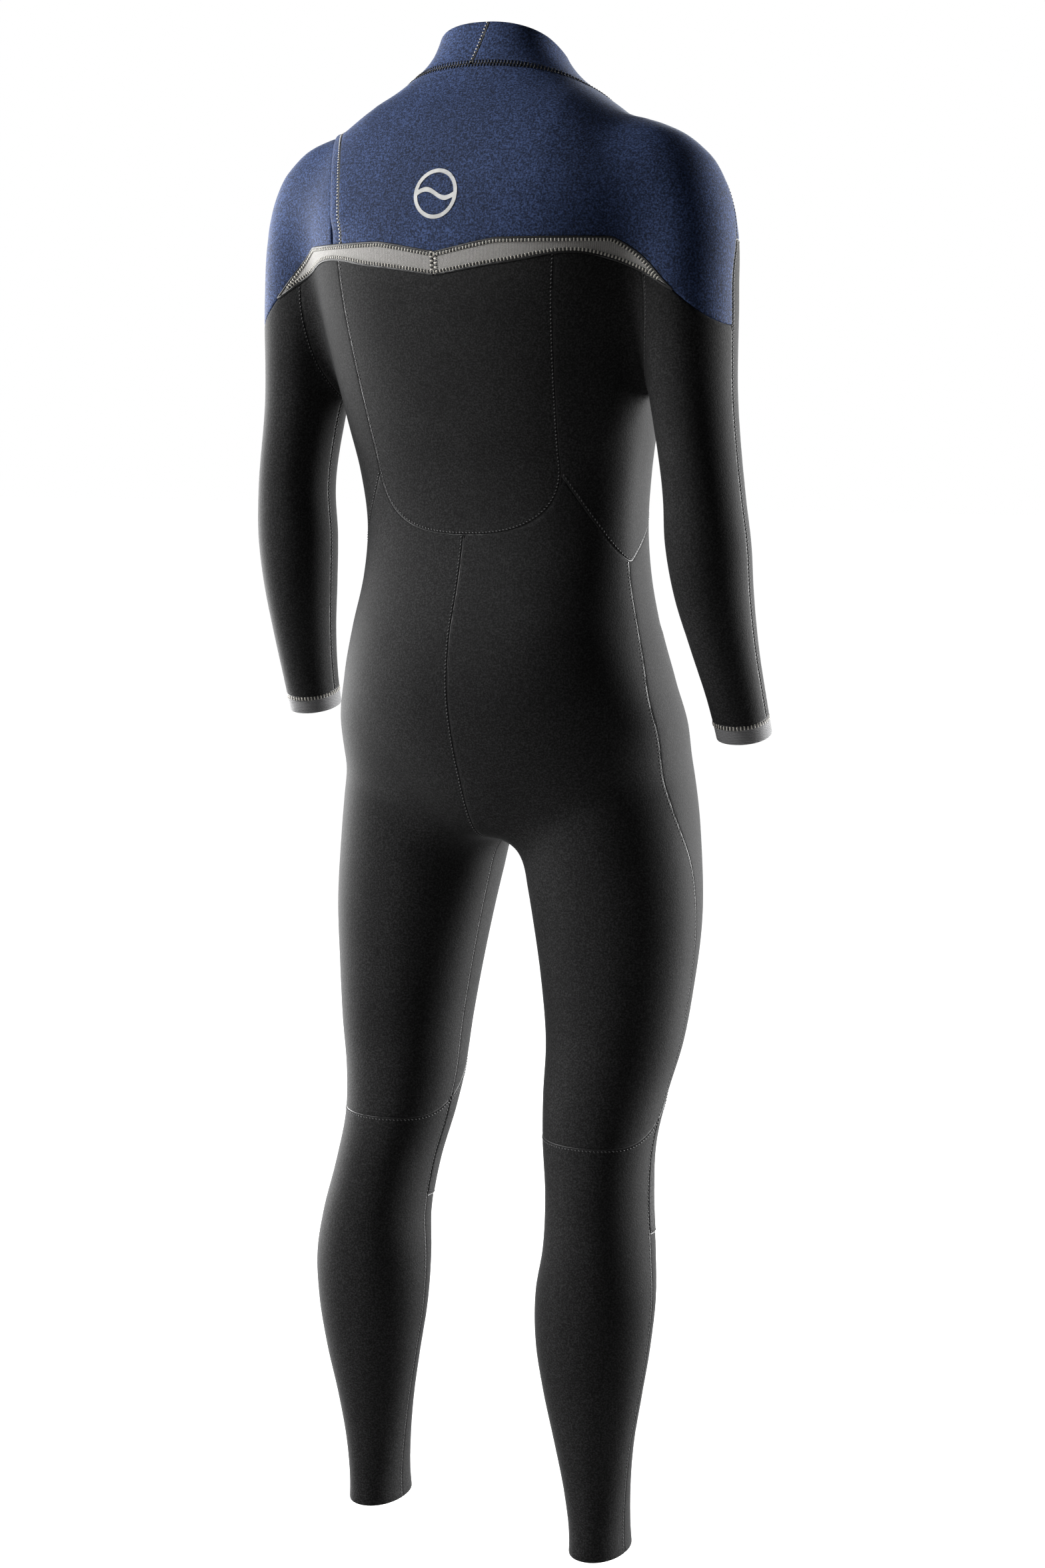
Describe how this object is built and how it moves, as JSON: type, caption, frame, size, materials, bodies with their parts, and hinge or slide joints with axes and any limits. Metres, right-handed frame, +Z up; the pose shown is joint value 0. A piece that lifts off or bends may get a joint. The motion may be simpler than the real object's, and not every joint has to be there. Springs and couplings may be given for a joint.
{
  "type": "full wetsuit",
  "caption": "Full-length front-entry wetsuit of stitched panels with long sleeves, a raised collar, a pale back band and knee panels; a chest zip slider travels and its pull swings.",
  "frame": {"origin": "middle of the wearer's neck, 1.50 m above the sole of the wearer's foot, where the suit is carried", "axes": "+Z up along the body, -Y the way the wearer faces, +X to the wearer's left"},
  "size_m": [0.546, 0.2582, 1.461],
  "materials": {
    "blue_jersey": "brushed four-way stretch jersey over foam, dull navy blue",
    "black_jersey": "fine knit jersey over foam, dull charcoal black",
    "band_tape": "woven pale grey reinforcing band",
    "cuff_rib": "mid grey knit cuff",
    "knee_jersey": "hard-wearing knee jersey",
    "zip_tape": "woven zip tape",
    "zip_plastic": "moulded acetal",
    "barrier_skin": "smooth-skin foam rubber",
    "badge_print": "raised pale grey print"
  },
  "bodies": {
    "suit": {"back_badge": "badge_print", "back_band_left": "band_tape", "back_band_right": "band_tape", "back_panel": "black_jersey", "back_yoke": "blue_jersey", "calf_left": "black_jersey", "calf_right": "black_jersey", "entry_flap": "blue_jersey", "entry_flap_fold": "blue_jersey", "front_body": "black_jersey", "knee_pad_left": "knee_jersey", "knee_pad_right": "knee_jersey", "left_shoulder": "blue_jersey", "neck_collar_left": "blue_jersey", "neck_collar_right": "blue_jersey", "seat_and_thigh_left": "black_jersey", "seat_and_thigh_right": "black_jersey", "shin_left": "black_jersey", "shin_right": "black_jersey", "side_panel_left": "black_jersey", "side_panel_right": "black_jersey", "sleeve_back_left": "black_jersey", "sleeve_back_right": "black_jersey", "sleeve_front_left": "black_jersey", "sleeve_front_right": "black_jersey", "thigh_front_left": "black_jersey", "thigh_front_right": "black_jersey", "wrist_cuff_left": "cuff_rib", "wrist_cuff_right": "cuff_rib", "zip_barrier": "barrier_skin", "zip_stop_closed_end": "zip_plastic", "zip_stop_open_end": "zip_plastic", "zip_tape_lower": "zip_tape", "zip_tape_upper": "zip_tape", "zip_teeth_lower": "zip_plastic", "zip_teeth_upper": "zip_plastic"},
    "slider": {"zip_slider": "zip_plastic"},
    "pull": {"zip_pull": "zip_plastic"}
  },
  "joints": [
    {"name": "slider_travel", "type": "hinge", "parent": "suit", "child": "slider", "pos_m": [0, 0.26721, -0.155], "axis": [0, 0, 1], "range_deg": [0, 26.09]},
    {"name": "pull_swing", "type": "hinge", "parent": "slider", "child": "pull", "pos_m": [-0.08625, -0.10512, -0.155], "axis": [0, 0, -1], "range_deg": [0, 165]}
  ]
}
